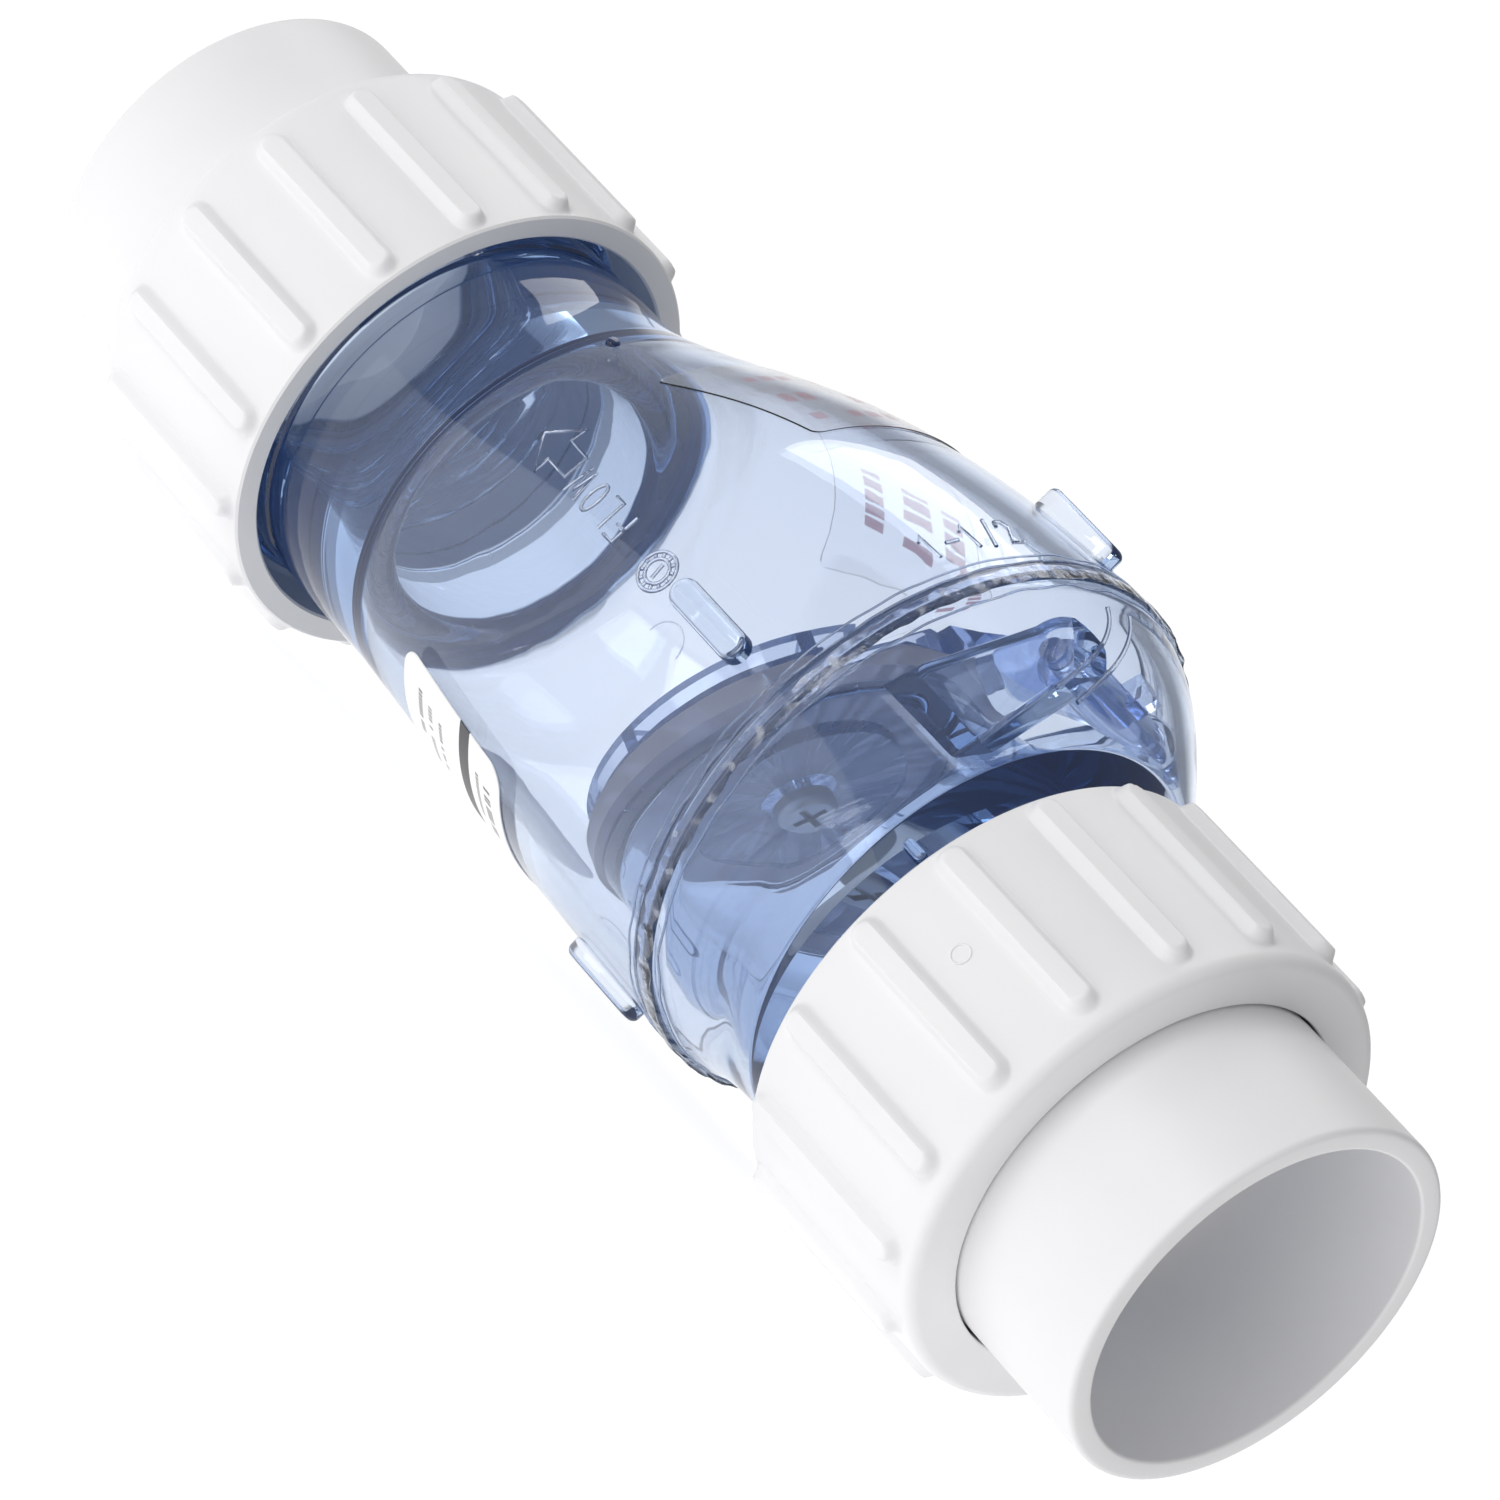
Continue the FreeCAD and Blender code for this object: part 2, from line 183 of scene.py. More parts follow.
def section(table, x):
    """Middle height and radius of a round skin at x, smooth through the listed sections."""
    xs = [row[0] for row in table]
    x = min(max(x, xs[0]), xs[-1])
    i = max(k for k in range(len(xs) - 1) if xs[k] <= x)
    span = xs[i + 1] - xs[i]
    t = (x - xs[i]) / span
    middles = [(low + high) / 2 for _, low, high in table]
    radii = [(high - low) / 2 for _, low, high in table]
    found = []
    for values in (middles, radii):
        a, b = values[i], values[i + 1]
        m, n = slope(xs, values, i) * span, slope(xs, values, i + 1) * span
        found.append((2 * t**3 - 3 * t**2 + 1) * a + (t**3 - 2 * t**2 + t) * m
                     + (3 * t**2 - 2 * t**3) * b + (t**3 - t**2) * n)
    return found


def stations(start, end, step):
    count = max(1, round(abs(end - start) / step))
    return [start + (end - start) * k / count for k in range(count + 1)]


def corner(x, radius, middle=0.0, lean=0.0, soft=0.0):
    """One point of a skin's profile; soft is how far the rounding reaches from it."""
    return (x, radius, middle, lean, soft)


def softened(profile, steps=6):
    """Closed profile with each soft corner turned into a short curve."""
    out = []
    count = len(profile)
    for k, point in enumerate(profile):
        here = Vector(point[:4])
        soft = point[4]
        if soft == 0:
            out.append(here)
            continue
        ends = []
        for other in (profile[k - 1], profile[(k + 1) % count]):
            away = Vector(other[:4]) - here
            reach = math.hypot(away[0], away[1])
            ends.append(here + away * min(0.48, soft / reach))
        for j in range(steps + 1):
            t = j / steps
            out.append((1 - t)**2 * ends[0] + 2 * t * (1 - t) * here + t**2 * ends[1])
    return out


def skin(name, profile, swell=None, angles=None):
    """Closed skin swept round the pipe axis; swell(x, angle, radius) adds to the radius."""
    if angles is None:
        angles = [TURN * k / AROUND for k in range(AROUND)]
    points = []
    for x, radius, middle, lean in profile:
        for a in angles:
            r = radius + (swell(x, a, radius) if swell else 0.0)
            z = middle + r * math.sin(a)
            points.append(Vector((x - z * lean, r * math.cos(a), z)) * MM)
    n = len(angles)
    rows = len(profile)
    faces = []
    for i in range(rows):
        for j in range(n):
            a, b = i * n + j, i * n + (j + 1) % n
            c, d = (i + 1) % rows * n + (j + 1) % n, (i + 1) % rows * n + j
            faces.append((a, b, c, d))
    return solid(name, points, faces)


def solid(name, points, faces):
    mesh = bpy.data.meshes.new(name)
    mesh.from_pydata(points, [], faces)
    work = bmesh.new()
    work.from_mesh(mesh)
    bmesh.ops.remove_doubles(work, verts=work.verts, dist=0.002 * MM)
    bmesh.ops.recalc_face_normals(work, faces=work.faces)
    work.to_mesh(mesh)
    work.free()
    piece = bpy.data.objects.new(name, mesh)
    bpy.context.scene.collection.objects.link(piece)
    return piece


def to_outlet(piece):
    """Turn a piece of the inlet end round to the outlet end."""
    for vertex in piece.data.vertices:
        x, y, z = vertex.co
        vertex.co = (LENGTH * MM - x, -y, z)
    return piece


def smooth(piece, degrees=34):
    for polygon in piece.data.polygons:
        polygon.use_smooth = True
    piece.data.set_sharp_from_angle(angle=math.radians(degrees))
    return piece


def union(base, extras, cut=()):
    """Weld extras to base and take cut away, leaving one skin."""
    for operation, others in (("UNION", extras), ("DIFFERENCE", cut)):
        for other in others:
            modifier = base.modifiers.new(operation.lower(), "BOOLEAN")
            modifier.operation = operation
            modifier.solver = "EXACT"
            modifier.object = other
    graph = bpy.context.evaluated_depsgraph_get()
    mesh = bpy.data.meshes.new_from_object(base.evaluated_get(graph))
    base.modifiers.clear()
    old = base.data
    base.data = mesh
    bpy.data.meshes.remove(old)
    for other in [*extras, *cut]:
        bpy.data.objects.remove(other)
    return base


def soft_bar(name, length, width, height, sink, softness):
    """Bar along +X with round ends and a soft top, its foot sink below z = 0."""
    r = width / 2
    levels = [(0.0, -sink)]
    for k in range(6):
        t = k / 5 * math.pi / 2
        levels.append((softness * (1 - math.cos(t)), height - softness + softness * math.sin(t)))
    points = []
    half = 10
    for inset, z in levels:
        for middle, first in ((length - r, -math.pi / 2), (r, math.pi / 2)):
            for k in range(half + 1):
                a = first + math.pi * k / half
                reach = r - inset
                points.append(Vector((middle + reach * math.cos(a), reach * math.sin(a), z)) * MM)
    n = 2 * (half + 1)
    faces = [tuple(range(n)), tuple((len(levels) - 1) * n + k for k in range(n))]
    for i in range(len(levels) - 1):
        for j in range(n):
            faces.append((i * n + j, i * n + (j + 1) % n, (i + 1) * n + (j + 1) % n, (i + 1) * n + j))
    return solid(name, points, faces)


def stand_on(piece, x, radius, middle, angle, tilt=0.0):
    """Set a bar drawn on z = 0 on the skin of that radius, at an angle round the axis."""
    turn = Matrix.Rotation(angle - math.pi / 2, 4, "X") @ Matrix.Rotation(tilt, 4, "Y")
    place = Matrix.Translation(Vector((x, radius * math.cos(angle), middle + radius * math.sin(angle))) * MM)
    piece.data.transform(place @ turn)
    return piece


def plate(name, outline, low_y, high_y, bevel):
    """Flat plate across Y with the rims of its two faces rounded."""
    n = len(outline)
    points = [Vector((x, y, z)) * MM for y in (low_y, high_y) for x, z in outline]
    faces = [tuple(range(n)), tuple(range(n, 2 * n))]
    faces += [(k, (k + 1) % n, n + (k + 1) % n, n + k) for k in range(n)]
    piece = solid(name, points, faces)
    work = bmesh.new()
    work.from_mesh(piece.data)
    rims = [e for e in work.edges if abs(e.verts[0].co.y - e.verts[1].co.y) < bevel * MM]
    bmesh.ops.bevel(work, geom=rims, offset=bevel * MM, segments=3, profile=0.5, affect="EDGES")
    work.to_mesh(piece.data)
    work.free()
    return piece


def disc_outline(x, z, radius, count=36):
    return [(x + radius * math.cos(TURN * k / count), z + radius * math.sin(TURN * k / count))
            for k in range(count)]


def strokes(name, lines, radius):
    """Round wires along lines of points, for raised marks."""
    curve = bpy.data.curves.new(name, "CURVE")
    curve.dimensions = "3D"
    curve.bevel_depth = radius * MM
    curve.bevel_resolution = 2
    curve.use_fill_caps = True
    for line in lines:
        closed = line[0] == line[-1] and len(line) > 2
        points = line[:-1] if closed else line
        spline = curve.splines.new("POLY")
        spline.points.add(len(points) - 1)
        spline.use_cyclic_u = closed
        for target, point in zip(spline.points, points):
            target.co = (*(Vector(point) * MM), 1)
    wire = bpy.data.objects.new(name, curve)
    bpy.context.scene.collection.objects.link(wire)
    graph = bpy.context.evaluated_depsgraph_get()
    mesh = bpy.data.meshes.new_from_object(wire.evaluated_get(graph))
    bpy.data.objects.remove(wire)
    piece = bpy.data.objects.new(name, mesh)
    bpy.context.scene.collection.objects.link(piece)
    return smooth(piece, 60)


def keep(piece, body, slot, material, *replaced):
    """Give a finished piece its material, its body and the nodes it stands for."""
    piece.data.materials.clear()
    piece.data.materials.append(material)
    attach(piece, body)
    if replaced:
        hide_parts(*replaced)
    return piece


# ---- materials ----------------------------------------------------------------------------

def white_pvc():
    """Injection-moulded white PVC: satin, with a faint orange-peel and a few dark specks."""
    material, tree = new_material("white_pvc_moulded")
    place = put(tree, "ShaderNodeTexCoord").outputs["Object"]
    peel = put(tree, "ShaderNodeTexNoise", {"Vector": place}, {"Scale": 1 / (1.6 * MM), "Detail": 3.0})
    tone = put(tree, "ShaderNodeTexNoise", {"Vector": place}, {"Scale": 1 / (22 * MM), "Detail": 2.0})
    speck = put(tree, "ShaderNodeTexVoronoi", {"Vector": place}, {"Scale": 1 / (11 * MM)})
    patch = put(tree, "ShaderNodeTexNoise", {"Vector": place}, {"Scale": 1 / (7 * MM)})
    size = put(tree, "ShaderNodeMapRange", {"Value": patch.outputs["Fac"]},
               {"From Min": 0.5, "From Max": 0.75, "To Min": 0.0, "To Max": 0.03})
    dot = put(tree, "ShaderNodeMath", {0: speck.outputs["Distance"], 1: size.outputs["Result"]},
              operation="LESS_THAN")
    base = put(tree, "ShaderNodeMix", {"Factor": tone.outputs["Fac"]}, data_type="RGBA")
    base.inputs["A"].default_value = colour("E9E9EB")
    base.inputs["B"].default_value = colour("F0F0F1")
    paint = put(tree, "ShaderNodeMix", {"Factor": dot.outputs[0], "A": base.outputs["Result"]},
                data_type="RGBA")
    paint.inputs["B"].default_value = colour("8A8682")
    rough = put(tree, "ShaderNodeMapRange", {"Value": peel.outputs["Fac"]}, {"To Min": 0.36, "To Max": 0.48})
    bump = put(tree, "ShaderNodeBump", {"Height": peel.outputs["Fac"]},
               {"Strength": 0.25, "Distance": 0.03 * MM})
    shader = put(tree, "ShaderNodeBsdfPrincipled", {
        "Base Color": paint.outputs["Result"],
        "Roughness": rough.outputs["Result"],
        "Normal": bump.outputs["Normal"],
    }, {"IOR": 1.54, "Specular IOR Level": 0.35})
    put(tree, "ShaderNodeOutputMaterial", {"Surface": shader.outputs["BSDF"]})
    return material


def clear_pvc(name, density, tint, ripple, haze_glow_share):
    """Clear rigid PVC with a blue toner: thick sections and edges read deep blue.

    haze_glow_share is the share of a faintly glowing matt blue layer, painted light that stands for light
    scattered by the toner.
    """
    material, tree = new_material(name)
    place = put(tree, "ShaderNodeTexCoord").outputs["Object"]
    flow = put(tree, "ShaderNodeTexNoise", {"Vector": place}, {"Scale": 1 / (12 * MM), "Detail": 2.0})
    bump = put(tree, "ShaderNodeBump", {"Height": flow.outputs["Fac"]},
               {"Strength": ripple, "Distance": 0.3 * MM})
    shader = put(tree, "ShaderNodeBsdfPrincipled", {"Normal": bump.outputs["Normal"]},
                 {"IOR": 1.53, "Roughness": 0.02, "Transmission Weight": 1.0})
    shader.inputs["Base Color"].default_value = colour("FDFDFF")
    # Painted glow: this matt blue layer gives off light of its own through emission, so the plastic shows
    # blue light even where it lies in shade.
    toner_glow = put(tree, "ShaderNodeBsdfPrincipled", values={"Roughness": 0.4, "IOR": 1.53})
    toner_glow.inputs["Base Color"].default_value = colour("5F8CE8")
    toner_glow.inputs["Emission Color"].default_value = colour("84ACEC")
    toner_glow.inputs["Emission Strength"].default_value = 0.7
    surface = put(tree, "ShaderNodeMixShader", {1: shader.outputs["BSDF"], 2: toner_glow.outputs["BSDF"]},
                {"Fac": haze_glow_share})
    volume = put(tree, "ShaderNodeVolumeAbsorption", values={"Density": density})
    volume.inputs["Color"].default_value = colour(tint)
    put(tree, "ShaderNodeOutputMaterial", {
        "Surface": surface.outputs["Shader"], "Volume": volume.outputs["Volume"]})
    return material


def silicone_rubber():
    """Moulded pale silicone: frosted, a little cloudy, and lets most of the light through."""
    material, tree = new_material("silicone_rubber_moulded")
    place = put(tree, "ShaderNodeTexCoord").outputs["Object"]
    bloom = put(tree, "ShaderNodeTexNoise", {"Vector": place}, {"Scale": 1 / (4 * MM), "Detail": 4.0})
    grain = put(tree, "ShaderNodeTexNoise", {"Vector": place}, {"Scale": 1 / (0.5 * MM)})
    paint = put(tree, "ShaderNodeMix", {"Factor": bloom.outputs["Fac"]}, data_type="RGBA")
    paint.inputs["A"].default_value = colour("DEDAE2")
    paint.inputs["B"].default_value = colour("ECE8EF")
    bump = put(tree, "ShaderNodeBump", {"Height": grain.outputs["Fac"]},
               {"Strength": 0.3, "Distance": 0.05 * MM})
    shader = put(tree, "ShaderNodeBsdfPrincipled", {
        "Base Color": paint.outputs["Result"], "Normal": bump.outputs["Normal"],
    }, {"Roughness": 0.4, "IOR": 1.42, "Transmission Weight": 0.65})
    put(tree, "ShaderNodeOutputMaterial", {"Surface": shader.outputs["BSDF"]})
    return material


def stainless_steel():
    """Stainless screw stock: bright, with a fine uneven polish that breaks up its shine."""
    material, tree = new_material("stainless_steel_turned")
    place = put(tree, "ShaderNodeTexCoord").outputs["Object"]
    marks = put(tree, "ShaderNodeTexNoise", {"Vector": place}, {"Scale": 1 / (0.4 * MM)})
    rough = put(tree, "ShaderNodeMapRange", {"Value": marks.outputs["Fac"]}, {"To Min": 0.3, "To Max": 0.5})
    shader = put(tree, "ShaderNodeBsdfPrincipled", {"Roughness": rough.outputs["Result"]}, {"Metallic": 1.0})
    shader.inputs["Base Color"].default_value = colour("B9BBBE")
    put(tree, "ShaderNodeOutputMaterial", {"Surface": shader.outputs["BSDF"]})
    return material


def dried_cement():
    """Dried solvent cement: glassy, wavy and full of small milky bubbles."""
    material, tree = new_material("solvent_cement_dried")
    place = put(tree, "ShaderNodeTexCoord").outputs["Object"]
    cloud = put(tree, "ShaderNodeTexNoise", {"Vector": place}, {"Scale": 1 / (2.2 * MM), "Detail": 4.0})
    milk = put(tree, "ShaderNodeMapRange", {"Value": cloud.outputs["Fac"]},
               {"From Min": 0.56, "From Max": 0.70, "To Max": 0.3})
    bump = put(tree, "ShaderNodeBump", {"Height": cloud.outputs["Fac"]},
               {"Strength": 0.8, "Distance": 0.3 * MM})
    clear = put(tree, "ShaderNodeBsdfPrincipled", {"Normal": bump.outputs["Normal"]},
                {"IOR": 1.5, "Roughness": 0.08, "Transmission Weight": 1.0})
    clear.inputs["Base Color"].default_value = colour("DDE6F6")
    white = put(tree, "ShaderNodeBsdfPrincipled", {"Normal": bump.outputs["Normal"]}, {"Roughness": 0.3})
    white.inputs["Base Color"].default_value = colour("E9EDF6")
    mixed = put(tree, "ShaderNodeMixShader", {
        "Fac": milk.outputs["Result"], 1: clear.outputs["BSDF"], 2: white.outputs["BSDF"]})
    put(tree, "ShaderNodeOutputMaterial", {"Surface": mixed.outputs["Shader"]})
    return material


def along_and_round(tree, radius):
    """Millimetres along the pipe and round the body, from a point's own place."""
    place = put(tree, "ShaderNodeTexCoord").outputs["Object"]
    parts = put(tree, "ShaderNodeSeparateXYZ", {"Vector": place})
    along = put(tree, "ShaderNodeMath", {0: parts.outputs["X"]}, {1: 1 / MM}, operation="MULTIPLY")
    angle = put(tree, "ShaderNodeMath", {0: parts.outputs["Z"], 1: parts.outputs["Y"]}, operation="ARCTAN2")
    around = put(tree, "ShaderNodeMath", {0: angle.outputs[0]}, {1: radius}, operation="MULTIPLY")
    return along.outputs[0], around.outputs[0]


def printed(tree, along, around, rows, dash, gap_share):
    """Mask of rows of (x, half width, first, last, whether broken into dashes, ink strength)."""
    total = None
    for x, half_width, first, last, broken, weight in rows:
        far = put(tree, "ShaderNodeMath", {0: along}, {1: x}, operation="SUBTRACT")
        size = put(tree, "ShaderNodeMath", {0: far.outputs[0]}, operation="ABSOLUTE")
        mask = put(tree, "ShaderNodeMath", {0: size.outputs[0]}, {1: half_width}, operation="LESS_THAN")
        low = put(tree, "ShaderNodeMath", {0: around}, {1: first}, operation="GREATER_THAN")
        high = put(tree, "ShaderNodeMath", {0: around}, {1: last}, operation="LESS_THAN")
        within = [mask, low, high]
        if broken:
            step = put(tree, "ShaderNodeMath", {0: around}, {1: 1 / dash}, operation="MULTIPLY")
            cell = put(tree, "ShaderNodeMath", {0: step.outputs[0]}, operation="FLOOR")
            seed = put(tree, "ShaderNodeMath", {0: cell.outputs[0]}, {1: x}, operation="ADD")
            chance = put(tree, "ShaderNodeTexWhiteNoise", {"W": seed.outputs[0]}, noise_dimensions="1D")
            part = put(tree, "ShaderNodeMath", {0: step.outputs[0]}, operation="FRACT")
            inked = put(tree, "ShaderNodeMath", {0: part.outputs[0]}, {1: 0.72}, operation="LESS_THAN")
            kept = put(tree, "ShaderNodeMath", {0: chance.outputs["Value"]}, {1: gap_share},
                       operation="GREATER_THAN")
            within += [inked, kept]
        row = within[0].outputs[0]
        for other in within[1:]:
            row = put(tree, "ShaderNodeMath", {0: row, 1: other.outputs[0]}, operation="MULTIPLY").outputs[0]
        row = put(tree, "ShaderNodeMath", {0: row}, {1: weight}, operation="MULTIPLY").outputs[0]
        if total is None:
            total = row
        else:
            total = put(tree, "ShaderNodeMath", {0: total, 1: row}, operation="MAXIMUM").outputs[0]
    return total


def coated_paper():
    """Gloss-coated white label stock with rows of small grey dashes and a dark bar."""
    material, tree = new_material("coated_label_paper")
    along, around = along_and_round(tree, 34.0)
    top, foot = 0.0, -48.0
    rows = [
        (125.6, 1.25, foot, top, False, 1.0),
        (137.2, 0.5, -40.0, -31.2, True, 0.8),
        (134.6, 0.5, -44.0, -32.4, True, 0.7),
        (131.9, 0.4, -43.0, -33.0, True, 0.8),
        (122.2, 0.4, -42.0, -33.0, True, 0.8),
        (119.8, 0.8, -44.0, -33.0, True, 0.9),
    ]
    ink = printed(tree, along, around, rows, 0.8, 0.18)
    place = put(tree, "ShaderNodeTexCoord").outputs["Object"]
    fibre = put(tree, "ShaderNodeTexNoise", {"Vector": place}, {"Scale": 1 / (0.6 * MM), "Detail": 3.0})
    stock = put(tree, "ShaderNodeMix", {"Factor": fibre.outputs["Fac"]}, data_type="RGBA")
    stock.inputs["A"].default_value = colour("F3F3F1")
    stock.inputs["B"].default_value = colour("FAFAF9")
    paint = put(tree, "ShaderNodeMix", {"Factor": ink, "A": stock.outputs["Result"]}, data_type="RGBA")
    paint.inputs["B"].default_value = colour("3A3A3E")
    bump = put(tree, "ShaderNodeBump", {"Height": fibre.outputs["Fac"]},
               {"Strength": 0.2, "Distance": 0.02 * MM})
    shader = put(tree, "ShaderNodeBsdfPrincipled", {
        "Base Color": paint.outputs["Result"], "Normal": bump.outputs["Normal"],
    }, {"Roughness": 0.38, "IOR": 1.5})
    put(tree, "ShaderNodeOutputMaterial", {"Surface": shader.outputs["BSDF"]})
    return material


def label_film():
    """Clear polyester film with bars of thin red ink that the light comes through."""
    material, tree = new_material("clear_label_film")
    along, around = along_and_round(tree, 36.0)
    rows = []
    for x, half_width in ((121.5, 1.6), (127.5, 2.2), (134.5, 1.4)):
        rows.append((x, half_width, 66.0, 80.0, True, 0.8))
        rows.append((x, half_width * 0.6, 34.0, 52.0, True, 0.28))
    ink = printed(tree, along, around, rows, 2.6, 0.22)
    film = put(tree, "ShaderNodeBsdfPrincipled", values={
        "IOR": 1.45, "Roughness": 0.05, "Transmission Weight": 1.0})
    film.inputs["Base Color"].default_value = colour("FDFDFE")
    red = put(tree, "ShaderNodeBsdfTranslucent")
    red.inputs["Color"].default_value = colour("F59AA6")
    coat = put(tree, "ShaderNodeBsdfPrincipled", values={"Roughness": 0.35})
    coat.inputs["Base Color"].default_value = colour("EE8894")
    body = put(tree, "ShaderNodeMixShader", {1: red.outputs["BSDF"], 2: coat.outputs["BSDF"]}, {"Fac": 0.45})
    share = put(tree, "ShaderNodeMath", {0: ink}, {1: 0.7}, operation="MULTIPLY")
    mixed = put(tree, "ShaderNodeMixShader", {
        "Fac": share.outputs[0], 1: film.outputs["BSDF"], 2: body.outputs["Shader"]})
    put(tree, "ShaderNodeOutputMaterial", {"Surface": mixed.outputs["Shader"]})
    return material


WHITE = white_pvc()
CLEAR = clear_pvc("clear_pvc_blue_toned", 50.0, "59A6DC", 0.1, 0.02)
CLEAR_THICK = clear_pvc("clear_pvc_flapper", 90.0, "4A94D6", 0.1, 0.05)
RUBBER = silicone_rubber()
STEEL = stainless_steel()
PAPER = coated_paper()
FILM = label_film()
CEMENT = dried_cement()


# ---- union ends -----------------------------------------------------------------------------

def ridge_height(x, angle, start, depth):
    """Height of a right-handed thread that starts at x = start, fading out at its ends."""
    fade = 2.0
    inside = min(1.0, max(0.0, (x - start) / fade), max(0.0, (start + THREAD_END - THREAD_START - x) / fade))
    turns = (x - start) / PITCH - angle / TURN
    off = abs(turns - round(turns)) * PITCH
    flank = (THREAD_FOOT - off) / (THREAD_FOOT - THREAD_CREST)
    return depth * inside * min(1.0, max(0.0, flank))


def eased(t):
    t = min(1.0, max(0.0, t))
    return t * t * (3 - 2 * t)


def connector(name):
    profile = [
        corner(0, CONNECTOR_R, soft=0.9),
        corner(COLLAR_START, CONNECTOR_R, soft=0.5),
        corner(COLLAR_START, COLLAR_R, soft=0.4),
        corner(PORT_FACE, COLLAR_R, soft=0.4),
        corner(PORT_FACE, FLOW_R, soft=0.4),
        corner(SOCKET_DEPTH, FLOW_R, soft=0.6),
        corner(SOCKET_DEPTH, SOCKET_R, soft=0.8),
        corner(0, SOCKET_R, soft=0.5),
    ]
    return smooth(skin(name, softened(profile)))


def union_nut(name, rib_turn):
    """Nut with soft-footed grip ribs outside and the union thread inside."""
    def swell(x, angle, radius):
        if radius > NUT_R - 0.01:
            period = TURN / RIB_COUNT
            turns = (angle - rib_turn) / period
            side = (turns - round(turns)) * period * NUT_R
            ends = (RIB_START + RIB_HALF_WIDTH, RIB_END - RIB_HALF_WIDTH)
            past = max(ends[0] - x, x - ends[1], 0.0)
            reach = RIB_HALF_WIDTH + RIB_SKIRT - math.hypot(side, past)
            return RIB_HEIGHT * eased(reach / RIB_FLANK)
        if abs(radius - NUT_BORE_R) < 0.01:
            return -ridge_height(x, angle, THREAD_START - PITCH / 2, NUT_THREAD_DEPTH)
        return 0.0

    flank = [0.9, 1.25, 1.5, 1.75, 2.0, 2.25, 2.5, 2.8]
    offsets = [-s for s in reversed(flank)] + [-0.3, 0.3] + flank + [3.8, 5.2, 6.6, 8.1, 9.5]
    angles = []
    for k in range(RIB_COUNT):
        for s in offsets:
            angles.append(rib_turn + TURN * k / RIB_COUNT + s / NUT_R)
    outside = stations(NUT_START + NUT_EDGE, RIB_START + 3.2, 0.35)
    outside += stations(RIB_START + 4.5, RIB_END - 4.5, 3.5)
    outside += stations(RIB_END - 3.2, NUT_END - 0.3, 0.35)
    profile = [corner(NUT_START, NUT_HOLE_R, soft=0.3), corner(NUT_START, NUT_R - NUT_EDGE)]
    for k in range(1, 6):
        a = k / 6 * math.pi / 2
        x = NUT_START + NUT_EDGE * (1 - math.cos(a))
        profile.append(corner(x, NUT_R - NUT_EDGE * (1 - math.sin(a)) - BELOW_RIBS))
    profile += [corner(x, NUT_R) for x in outside]
    profile += [corner(NUT_END, NUT_R - 0.3), corner(NUT_END, NUT_BORE_R + 0.3)]
    profile += [corner(x, NUT_BORE_R) for x in stations(NUT_END - 0.3, COLLAR_START + 0.4, 0.4)]
    profile += [corner(COLLAR_START, NUT_BORE_R - 0.4), corner(COLLAR_START, NUT_HOLE_R, soft=0.3)]
    return smooth(skin(name, softened(profile), swell, angles), 40)


def port_end():
    """Profile of a threaded port from the bore round the face to the thread's root."""
    return [
        corner(PORT_FACE, FLOW_R, soft=0.4),
        corner(PORT_FACE, GROOVE_IN_R, soft=0.2),
        corner(PORT_FACE + GROOVE_DEPTH, GROOVE_IN_R, soft=0.4),
        corner(PORT_FACE + GROOVE_DEPTH, GROOVE_OUT_R, soft=0.4),
        corner(PORT_FACE, GROOVE_OUT_R, soft=0.2),
        corner(PORT_FACE, BODY_THREAD_ROOT_R, soft=0.5),
    ]


def port_thread(x, angle, radius):
    if abs(radius - BODY_THREAD_ROOT_R) > 0.001:
        return 0.0
    return ridge_height(x, angle, THREAD_START, BODY_THREAD_DEPTH)


# ---- body -------------------------------------------------------------------------------------

LUG_START = 58.4           # small lug on the inlet half beside the nut
LUG_LENGTH = 4.2
LUG_WIDTH = 1.8
LUG_HEIGHT = 1.0
LUG_SINK = 1.6
LUG_SOFTNESS = 0.6
LUG_R = 31.0
LUG_MIDDLE = 1.8
LUG_TURN = math.radians(10.5)

STUB_START = 152.4         # stub left by the mould's gate
STUB_MIDDLE = 153.3
STUB_WIDTH = 1.9
STUB_HEIGHT = 0.7
STUB_SINK = 1.0
STUB_SOFTNESS = 0.5
STUB_TURN = math.radians(43.8)

NOZZLE_STEPS = 16
BORE_STEPS = NOZZLE_STEPS + 8
WAVE_COUNT = 12
WAVE_SWING = 1.8           # brings the summed waves up to about 1 at their peaks


def hinge_ear(side):
    """One ear with its pin boss, on the side given by 1 or -1."""
    low, high = sorted((side * EAR_INNER_Y, side * EAR_OUTER_Y))
    web = plate("ear_web", EAR_OUTLINE, low, high, 0.7)
    boss = plate("ear_boss", disc_outline(HINGE_X, HINGE_Z, EAR_BOSS_R), low - 0.02, high + 0.02, 0.5)
    return [web, boss]


